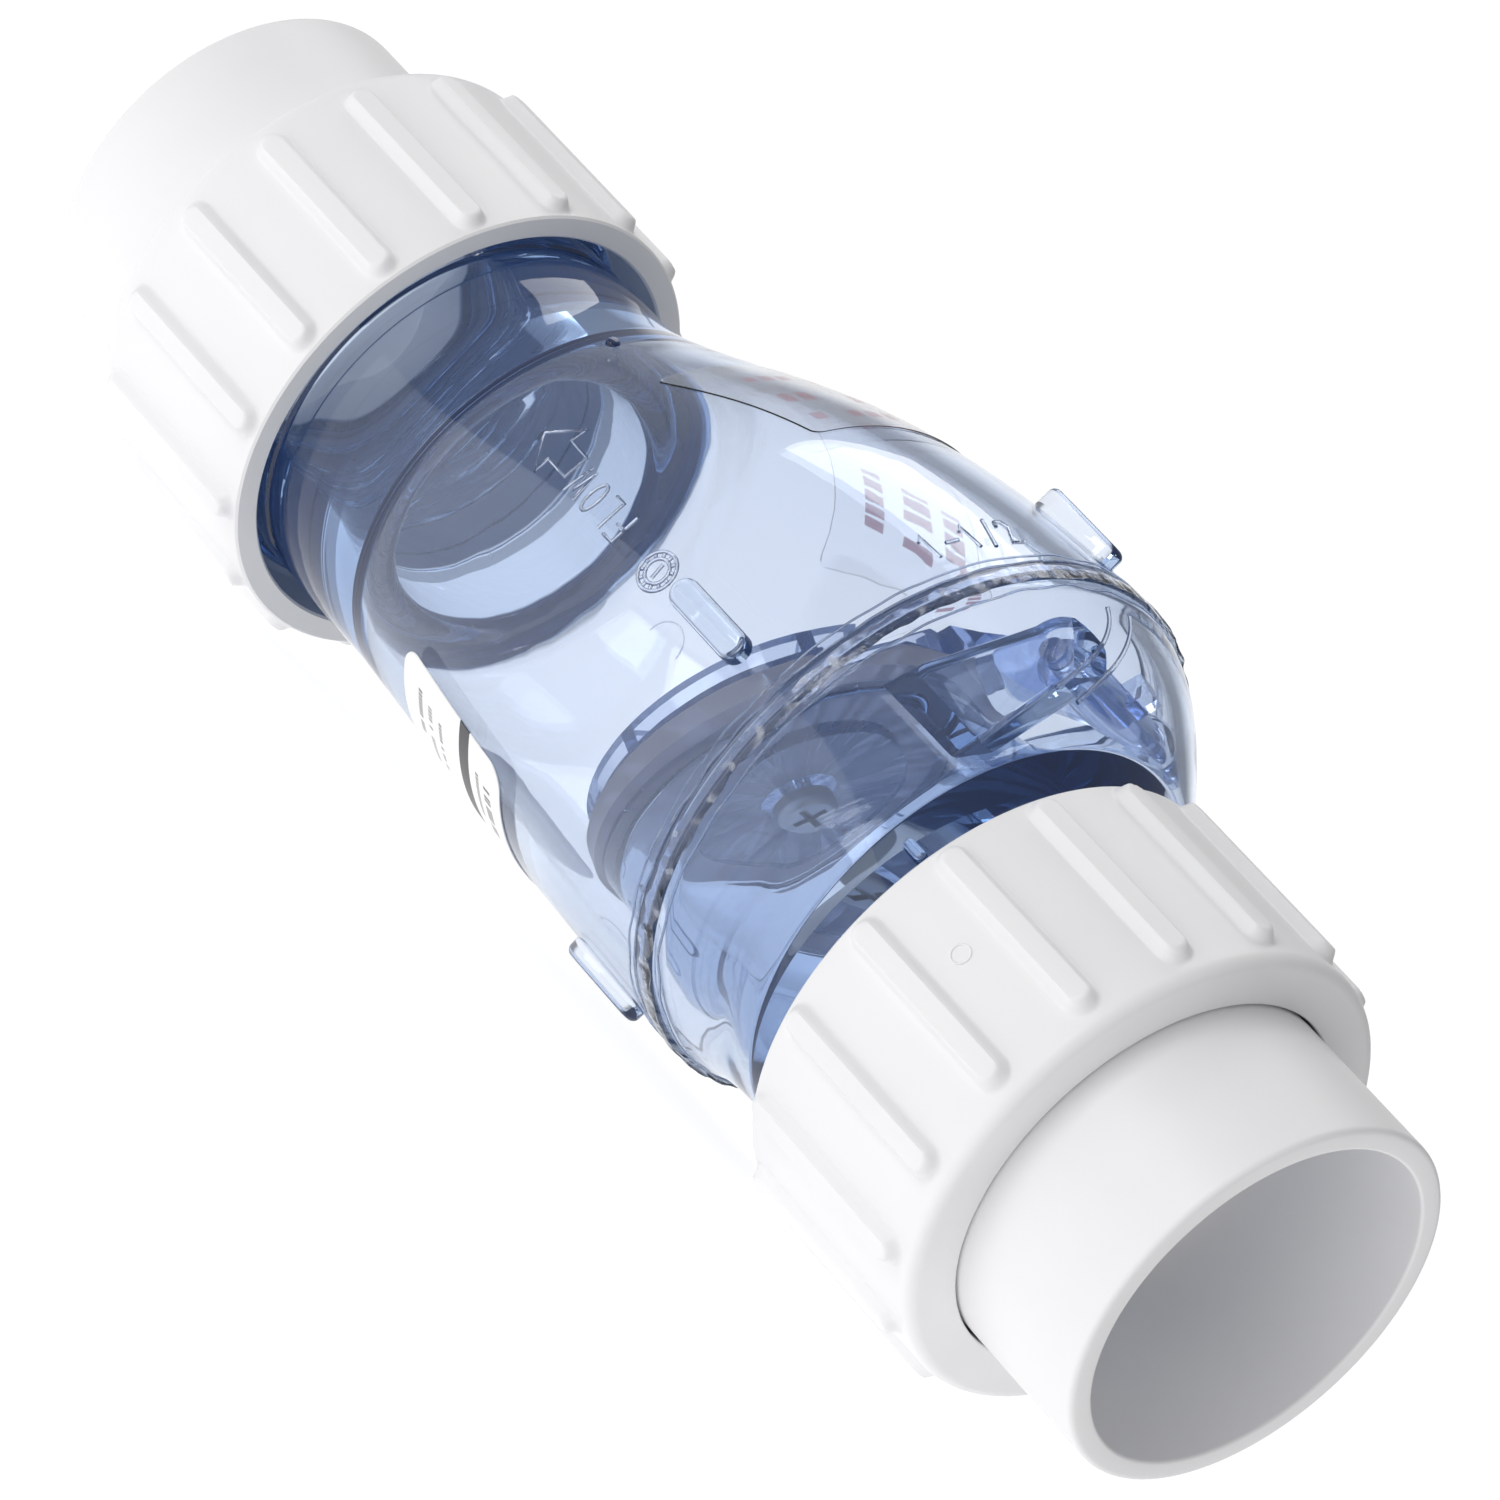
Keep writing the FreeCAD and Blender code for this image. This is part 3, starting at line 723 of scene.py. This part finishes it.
def inlet_body():
    """Inlet half in one skin: port, dome, seam spigot, seat nozzle and hinge ears."""
    profile = port_end()
    profile += [corner(x, BODY_THREAD_ROOT_R) for x in stations(PORT_FACE + 1, TUBE_START - 0.6, 0.4)]
    for x in stations(TUBE_START, SEAM_X, 0.9):
        middle, radius = section(INLET_SHELL, x)
        profile.append(corner(x, radius, middle))
    seam = CHAMBER_Z
    profile[-1] = corner(SEAM_X, CHAMBER_R, seam, soft=0.4)
    profile += [
        corner(SEAM_X, SPIGOT_R, seam, soft=0.3),
        corner(SPIGOT_END, SPIGOT_R, seam, soft=0.4),
        corner(SPIGOT_END, CHAMBER_R - WALL, seam, soft=0.4),
    ]
    for x in reversed(stations(CAVITY_START + 0.4, SEAM_X, 0.9)):
        middle, radius = section(INLET_CAVITY, x)
        profile.append(corner(x, radius, middle))
    middle, radius = section(INLET_CAVITY, CAVITY_START)
    profile.append(corner(CAVITY_START, radius - 0.3, middle, soft=0.2))
    for k in range(NOZZLE_STEPS + 1):
        t = k / NOZZLE_STEPS
        x = CAVITY_START + t * (SEAT_X - CAVITY_START)
        soft = 0.8 if k == NOZZLE_STEPS else 0.0
        profile.append(corner(x, NOZZLE_R, 0.0, t * math.tan(SEAT_LEAN), soft))
    for k in range(BORE_STEPS, -1, -1):
        t = k / BORE_STEPS
        x = PORT_FACE + 0.5 + t * (SEAT_X - PORT_FACE - 0.5)
        soft = 1.2 if k == BORE_STEPS else 0.0
        profile.append(corner(x, FLOW_R, 0.0, t * math.tan(SEAT_LEAN), soft))
    body = skin("inlet_half", softened(profile), port_thread)
    bar = soft_bar("lug", LUG_LENGTH, LUG_WIDTH, LUG_HEIGHT, LUG_SINK, LUG_SOFTNESS)
    lug = stand_on(bar, LUG_START, LUG_R, LUG_MIDDLE, LUG_TURN)
    extras = [*hinge_ear(1), *hinge_ear(-1), lug]
    return smooth(union(body, extras))


def outlet_body():
    """Outlet half in one skin: chamber, shoulder, four pads and the port."""
    seam = CHAMBER_Z
    start = SEAM_X + SEAM_SLIP
    profile = [corner(start, CHAMBER_R, seam, soft=0.4)]
    for x in stations(SEAM_X + 1.2, OUTLET_SHELL[-1][0], 1.2):
        middle, radius = section(OUTLET_SHELL, x)
        profile.append(corner(x, radius, middle))
    profile += [
        corner(LENGTH - NECK_END, TUBE_R, soft=0.5),
        corner(LENGTH - NECK_END, NECK_R, soft=0.4),
        corner(LENGTH - NECK_START, NECK_R, soft=0.4),
    ]
    outer = stations(LENGTH - NECK_START, LENGTH - PORT_FACE - 1, 0.4)
    profile += [corner(x, BODY_THREAD_ROOT_R) for x in outer[1:]]
    profile += [(LENGTH - x, r, m, lean, soft) for x, r, m, lean, soft in reversed(port_end())]
    for x in reversed(stations(CAVITY_END + 2.5, LENGTH - PORT_FACE - 2, 6.0)):
        profile.append(corner(x, FLOW_R))
    middle, radius = section(OUTLET_SHELL, CAVITY_END)
    profile += [
        corner(CAVITY_END + 0.4, FLOW_R, soft=3.0),
        corner(CAVITY_END, radius - WALL, middle, soft=3.6),
    ]
    lap_end = SPIGOT_END + SEAM_SLIP
    for x in reversed(stations(lap_end + 1.2, CAVITY_END - 7.5, 1.2)):
        middle, radius = section(OUTLET_SHELL, x)
        profile.append(corner(x, radius - WALL, middle))
    profile += [
        corner(lap_end, CHAMBER_R - WALL, seam, soft=0.4),
        corner(lap_end, SPIGOT_R + SEAM_SLIP, seam, soft=0.3),
        corner(start, SPIGOT_R + SEAM_SLIP, seam, soft=0.3),
    ]

    def thread(x, angle, radius):
        return port_thread(LENGTH - x, math.pi - angle, radius)

    body = skin("outlet_half", softened(profile), thread)
    pads = []
    for k in range(PAD_COUNT):
        bar = soft_bar("pad", PAD_LENGTH, PAD_WIDTH, PAD_HEIGHT, PAD_SINK, PAD_SOFTNESS)
        pads.append(stand_on(bar, PAD_START, CHAMBER_R, CHAMBER_Z, math.pi / 2 * k))
    stub = soft_bar("gate_stub", STUB_WIDTH, STUB_WIDTH, STUB_HEIGHT, STUB_SINK, STUB_SOFTNESS)
    middle, radius = section(OUTLET_SHELL, STUB_MIDDLE)
    pads.append(stand_on(stub, STUB_START, radius, middle, STUB_TURN))
    return smooth(union(body, pads))


def uneven_line(seed, slowest, quickest):
    """A wandering value between about -1 and 1 that closes on itself round the body."""
    rng = random.Random(seed)
    waves = [(rng.randint(slowest, quickest), rng.uniform(0, TURN), rng.uniform(0.3, 1.0))
             for _ in range(WAVE_COUNT)]
    total = sum(wave[2] for wave in waves)

    def value(angle):
        return WAVE_SWING * sum(size * math.sin(n * angle + phase) for n, phase, size in waves) / total
    return value


def cement_bead():
    """Broad squeezed-out line of cement round the joint, uneven in width and height."""
    wide, tall, drift = uneven_line(7, 4, 70), uneven_line(8, 6, 110), uneven_line(9, 2, 24)
    points = []
    faces = []
    count = 960
    across = 10
    for i in range(count):
        a = TURN * i / count
        width = max(0.5, 1.3 + 0.6 * wide(a))
        height = min(0.46, max(0.07, 0.22 + 0.16 * tall(a)))
        for j in range(across):
            b = TURN * j / across
            r = CHAMBER_R + 0.03 + height * (0.5 - 0.5 * math.cos(b))
            x = SEAM_X + 0.35 * drift(a) + width * math.sin(b)
            points.append(Vector((x, r * math.cos(a), CHAMBER_Z + r * math.sin(a))) * MM)
        for j in range(across):
            faces.append((i * across + j, i * across + (j + 1) % across,
                          (i + 1) % count * across + (j + 1) % across, (i + 1) % count * across + j))
    return smooth(solid("cement_line", points, faces), 70)


def cement_edges():
    """Fine wandering lips where the cement ran along the joint before it set."""
    lines = []
    for seed, x, table in ((21, SEAM_X - 1.9, INLET_SHELL), (22, SEAM_X + 2.4, OUTLET_SHELL),
                           (23, SEAM_X + 3.6, OUTLET_SHELL)):
        drift = uneven_line(seed, 2, 40)
        count = 540
        line = []
        for k in range(count):
            a = TURN * k / count
            at = x + 0.28 * drift(a)
            middle, radius = section(table, at)
            line.append((at, radius * math.cos(a), middle + radius * math.sin(a)))
        lines.append(line + line[:1])
    return strokes("cement_lips", lines, 0.16)


# ---- moulded marks ----------------------------------------------------------------------------

MARK_LIFT = 0.02
WORD_X = 119.4             # flow word: its start, its base line and its letters' size
WORD_Z = 10.3
WORD_WIDTH = 2.5
WORD_HEIGHT = 4.4
WORD_STEP = 3.35
FIGURE_X = 88.6            # size figures, set round the body in degrees
FIGURE_TURN = 38.0
FIGURE_WIDTH = 4.1
FIGURE_HEIGHT = 4.6
FIGURE_STEP = 4.4
DIAL_X = 110.6             # date dial
DIAL_Z = 7.7
DIAL_RINGS = (2.75, 1.75)
DIAL_TICK = (1.95, 2.55)
DIAL_TICKS = 12
DIAL_POINTS = 28
EJECTOR_X = 101.8
EJECTOR_Z = 2.2
EJECTOR_R = 3.0
GATE_X = 43.1
GATE_R = 1.3
GATE_TURN = math.radians(5.6)
GATE_POINTS = 24
# the hinge dome's two curved lines, each by (x, degrees) of its start, middle and end
DOME_BENDS = (
    ((77.8, 68.6), (72.8, 63.6), (68.9, 50.3)),
    ((77.6, 75.3), (72.0, 69.4), (67.2, 55.4)),
)
ARROW = (
    (142.6, 8.9), (138.2, 13.0), (138.2, 10.7), (133.6, 10.7),
    (133.6, 7.1), (138.2, 7.1), (138.2, 4.8), (142.6, 8.9),
)


def on_side(x, z):
    """Point on the outlet half's +Y side at that x and height."""
    middle, radius = section(OUTLET_SHELL, x)
    radius += MARK_LIFT
    return (x, math.sqrt(radius**2 - (z - middle)**2), z)


def on_shell(table, x, degrees):
    middle, radius = section(table, x)
    radius += MARK_LIFT
    a = math.radians(degrees)
    return (x, radius * math.cos(a), middle + radius * math.sin(a))


# strokes of the plain capitals and figures, in a box one wide and one high
GLYPHS = {
    "F": [[(0, 0), (0, 1), (0.8, 1)], [(0, 0.52), (0.62, 0.52)]],
    "L": [[(0, 1), (0, 0), (0.75, 0)]],
    "O": [[(0.4 + 0.4 * math.cos(TURN * k / 14), 0.5 + 0.5 * math.sin(TURN * k / 14)) for k in range(14)]
          + [(0.8, 0.5)]],
    "W": [[(0, 1), (0.25, 0), (0.5, 0.8), (0.75, 0), (1, 1)]],
    "1": [[(0.1, 0.75), (0.4, 1), (0.4, 0)]],
    "-": [[(0.1, 0.45), (0.8, 0.45)]],
    "/": [[(0.05, -0.1), (0.75, 1.1)]],
    "2": [[(0.05, 0.75), (0.2, 0.97), (0.55, 0.97), (0.7, 0.72), (0.05, 0), (0.75, 0)]],
}


def on_dial(radius, turn):
    return on_side(DIAL_X + radius * math.cos(turn), DIAL_Z + radius * math.sin(turn))


def flow_marks():
    """Flow word and arrow on the +Y side."""
    lines = []
    pen = WORD_X
    for letter in "FLOW":
        for stroke in GLYPHS[letter]:
            lines.append([on_side(pen + WORD_WIDTH * u, WORD_Z - WORD_HEIGHT * v) for u, v in stroke])
        pen += WORD_STEP
    lines.append([on_side(x, z) for x, z in ARROW])
    return lines


def size_figures():
    """Nominal pipe size, set round the body beside the seam."""
    lines = []
    pen = FIGURE_TURN
    for letter in "1-1/2":
        for stroke in GLYPHS[letter]:
            lines.append([on_shell(OUTLET_SHELL, FIGURE_X + FIGURE_HEIGHT * v, pen + FIGURE_WIDTH * u)
                          for u, v in stroke])
        pen += FIGURE_STEP
    return lines


def date_dial():
    """Two rings with ticks between them and a pointer."""
    lines = []
    for radius in DIAL_RINGS:
        ring = [on_dial(radius, TURN * k / DIAL_POINTS) for k in range(DIAL_POINTS)]
        lines.append(ring + [on_side(DIAL_X + radius, DIAL_Z)])
    for k in range(DIAL_TICKS):
        lines.append([on_dial(r, TURN * k / DIAL_TICKS) for r in DIAL_TICK])
    lines.append([on_side(DIAL_X - 0.2, DIAL_Z - 1.1), on_side(DIAL_X + 0.1, DIAL_Z + 1.1)])
    return lines


def dome_line(bend):
    """Curved line on the dome through the three listed points."""
    (xa, ta), (xb, tb), (xc, tc) = bend
    through = 2 * xb - (xa + xc) / 2
    across = 2 * tb - (ta + tc) / 2
    line = []
    for k in range(17):
        t = k / 16
        x = (1 - t)**2 * xa + 2 * t * (1 - t) * through + t**2 * xc
        angle = (1 - t)**2 * ta + 2 * t * (1 - t) * across + t**2 * tc
        line.append(on_shell(INLET_SHELL, x, angle))
    return line


def gate_ring():
    """Ring that the mould's gate left on the inlet nut."""
    ring = []
    for k in range(GATE_POINTS):
        a = TURN * k / GATE_POINTS
        angle = GATE_TURN + GATE_R * math.sin(a) / NUT_R
        ring.append((GATE_X + GATE_R * math.cos(a), NUT_R * math.cos(angle), NUT_R * math.sin(angle)))
    return ring + ring[:1]


def marks():
    """Marks that stand off the skin, as the mould left them."""
    word = strokes("moulded_marks", flow_marks() + size_figures() + date_dial(), 0.27)
    arc = []
    for k in range(13):
        a = k / 24 * TURN
        arc.append(on_side(EJECTOR_X + EJECTOR_R * math.cos(a), EJECTOR_Z + EJECTOR_R * math.sin(a)))
    tick = [on_shell(OUTLET_SHELL, 133.6, -18.5), on_shell(OUTLET_SHELL, 135.0, -17.5)]
    ejector = strokes("ejector_marks", [arc, tick], 0.08)
    ribs = strokes("dome_lines", [dome_line(bend) for bend in DOME_BENDS], 0.34)
    for piece in (word, ejector, ribs):
        keep(piece, "valve_body", "clear_pvc", CLEAR)
    keep(strokes("nut_gate_mark", [gate_ring()], 0.14), "inlet_nut", "white_pvc", WHITE)


# ---- assembly ------------------------------------------------------------------------------------

def dress(names, material):
    """Give CAD parts their material where they stand."""
    for name in names:
        part = nodes[name]
        part.data.materials.clear()
        part.data.materials.append(material)


keep(connector("inlet_end_connector"), "inlet_connector", "white_pvc", WHITE, "inlet_connector")
keep(to_outlet(connector("outlet_end_connector")), "outlet_connector", "white_pvc", WHITE,
     "outlet_connector")
keep(union_nut("inlet_union_nut", INLET_RIB_TURN), "inlet_nut", "white_pvc", WHITE, "inlet_nut")
keep(to_outlet(union_nut("outlet_union_nut", OUTLET_RIB_TURN)), "outlet_nut", "white_pvc", WHITE,
     "outlet_nut")
keep(inlet_body(), "valve_body", "clear_pvc", CLEAR, "inlet_body")
keep(outlet_body(), "valve_body", "clear_pvc", CLEAR, "outlet_body")
keep(cement_bead(), "valve_body", "solvent_cement", CEMENT, "cement_bead")
keep(cement_edges(), "valve_body", "solvent_cement", CEMENT)
marks()

dress(["flapper_arm", "hinge_pin"], CLEAR_THICK)
dress(["seal_retainer"], CLEAR)
dress(["retainer_screw"], STEEL)
dress(["inlet_oring", "outlet_oring", "flapper_seal"], RUBBER)
dress(["white_label"], PAPER)
dress(["clear_label"], FILM)


# ---- studio ----------------------------------------------------------------------------------------

VIEW_AZIMUTH = math.radians(214.447)
VIEW_ELEVATION = math.radians(1.65)
VIEW_ROLL = math.radians(46.53)
VIEW_DISTANCE = 1.0298
LENS = 195.78
BACK = Vector((math.sin(VIEW_AZIMUTH) * math.cos(VIEW_ELEVATION),
               -math.cos(VIEW_AZIMUTH) * math.cos(VIEW_ELEVATION), math.sin(VIEW_ELEVATION)))
RIGHT = Vector((math.cos(VIEW_AZIMUTH), math.sin(VIEW_AZIMUTH), 0))
TARGET = Vector((MOUTH + 0.4652 * LENGTH * MM, 0, 0))
# (name, metres from the target, side in metres, watts)
SOFT_BOXES = (
    ("key", -1.1 * RIGHT + 0.9 * BACK + Vector((0, 0, 0.35)), 0.6, 5.6),
    ("top", Vector((0.57, -0.12, 0.82)), 0.5, 1.9),
    ("side_strip", 0.9 * RIGHT + 0.5 * BACK + Vector((0, 0, 0.7)), 0.22, 1.0),
)


def floor_finish():
    """Opal acrylic light table: glows evenly, so shadows on it stay faint."""
    material, tree = new_material("opal_acrylic_table")
    shader = put(tree, "ShaderNodeBsdfPrincipled", values={"Roughness": 0.9, "Emission Strength": 0.88})
    shader.inputs["Base Color"].default_value = colour("9C9C9C")
    shader.inputs["Emission Color"].default_value = colour("FFFFFF")
    put(tree, "ShaderNodeOutputMaterial", {"Surface": shader.outputs["BSDF"]})
    return material


def soft_box(name, place, size, power):
    data = bpy.data.lights.new(name, "AREA")
    data.shape = "SQUARE"
    data.size = size
    data.energy = power
    light = bpy.data.objects.new(name, data)
    bpy.context.scene.collection.objects.link(light)
    light.matrix_world = (Matrix.Translation(place)
                          @ (place - TARGET).to_track_quat("Z", "Y").to_matrix().to_4x4())


def studio():
    """Lit table, soft boxes and a pale room that is brighter behind the valve."""
    reach = 6.0
    floor_z = min(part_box("inlet_nut")[0].z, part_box("outlet_nut")[0].z)
    mesh = bpy.data.meshes.new("floor")
    mesh.from_pydata([(-reach, -reach, floor_z), (reach, -reach, floor_z), (reach, reach, floor_z),
                      (-reach, reach, floor_z)], [], [(0, 1, 2, 3)])
    floor = bpy.data.objects.new("floor", mesh)
    bpy.context.scene.collection.objects.link(floor)
    floor.data.materials.append(floor_finish())
    for name, offset, size, power in SOFT_BOXES:
        soft_box(name, TARGET + offset, size, power)
    world = bpy.data.worlds.new("studio")
    world.use_nodes = True
    tree = world.node_tree
    tree.nodes.clear()
    way = put(tree, "ShaderNodeTexCoord").outputs["Generated"]
    side = put(tree, "ShaderNodeVectorMath", {0: way}, operation="DOT_PRODUCT")
    side.inputs[1].default_value = -RIGHT
    level = put(tree, "ShaderNodeMapRange", {"Value": side.outputs["Value"]},
                {"From Min": -1.0, "From Max": 0.6, "To Min": 0.2, "To Max": 0.5})
    behind = put(tree, "ShaderNodeVectorMath", {0: way}, operation="DOT_PRODUCT")
    behind.inputs[1].default_value = -BACK
    wall = put(tree, "ShaderNodeMapRange", {"Value": behind.outputs["Value"]},
               {"From Min": 0.8, "From Max": 0.93, "To Min": 0.0, "To Max": 1.05})
    bright = put(tree, "ShaderNodeMath", {0: level.outputs["Result"], 1: wall.outputs["Result"]},
                 operation="MAXIMUM")
    glow = put(tree, "ShaderNodeBackground", {"Strength": bright.outputs[0]})
    glow.inputs["Color"].default_value = colour("FFFFFF")
    put(tree, "ShaderNodeOutputWorld", {"Surface": glow.outputs["Background"]})
    bpy.context.scene.world = world
    bpy.context.scene.view_settings.view_transform = "Standard"


def camera():
    data = bpy.data.cameras.new("camera")
    data.lens = LENS
    data.sensor_width = 36
    data.clip_start = 0.05
    data.clip_end = 30
    view = bpy.data.objects.new("camera", data)
    bpy.context.scene.collection.objects.link(view)
    level = (-BACK).to_track_quat("-Z", "Y").to_matrix()
    roll = Matrix.Rotation(VIEW_ROLL, 3, "Z")
    view.matrix_world = Matrix.Translation(TARGET + BACK * VIEW_DISTANCE) @ (level @ roll).to_4x4()
    bpy.context.scene.camera = view


studio()
camera()
